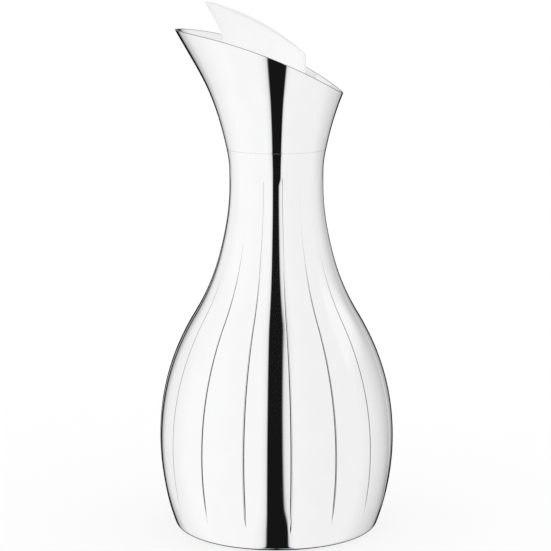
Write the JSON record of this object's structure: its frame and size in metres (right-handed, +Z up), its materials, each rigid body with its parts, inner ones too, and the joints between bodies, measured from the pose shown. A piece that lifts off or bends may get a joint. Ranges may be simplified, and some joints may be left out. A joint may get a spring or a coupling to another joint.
{
  "type": "insulated water pitcher",
  "caption": "Lobed steel water pitcher with a flared slanted spout collar, a double-walled body and a white beaked stopper that tilts open and lifts out.",
  "frame": {"origin": "middle of the foot, on the surface that the pitcher stands on", "axes": "+Z up along the body's axis; the spout points to -X"},
  "size_m": [0.1202, 0.1202, 0.27],
  "materials": {
    "polished_steel": "mirror polished",
    "flask_steel": "drawn and brushed",
    "white_plastic": "satin white",
    "silicone": "matte translucent grey",
    "weight_steel": "plain",
    "bright_pin": "turned"
  },
  "bodies": {
    "jug": {"body_shell": "polished_steel", "inner_flask": "flask_steel", "base_plate": "flask_steel", "vacuum_seal": "weight_steel", "getter": "weight_steel", "base_cover": "flask_steel", "foot_ring": "silicone", "spout_collar": "polished_steel", "neck_liner": "white_plastic", "neck_gasket": "silicone"},
    "stopper": {"stopper_frame": "white_plastic", "stopper_seal": "silicone", "pivot_pin": "bright_pin"},
    "rocker": {"lid_shell": "white_plastic", "lid_top": "white_plastic", "ballast": "weight_steel", "rocker_stem": "white_plastic", "valve_seal": "silicone", "valve_retainer": "white_plastic", "valve_screw": "bright_pin"}
  },
  "joints": [
    {"name": "stopper_lift", "type": "slide", "parent": "jug", "child": "stopper", "axis": [0, 0, 1], "range_m": [0, 0.08]},
    {"name": "lid_tilt", "type": "hinge", "parent": "stopper", "child": "rocker", "pos_m": [-0.0125, 0, 0.192], "axis": [0, -1, 0], "range_deg": [0, 10]}
  ]
}
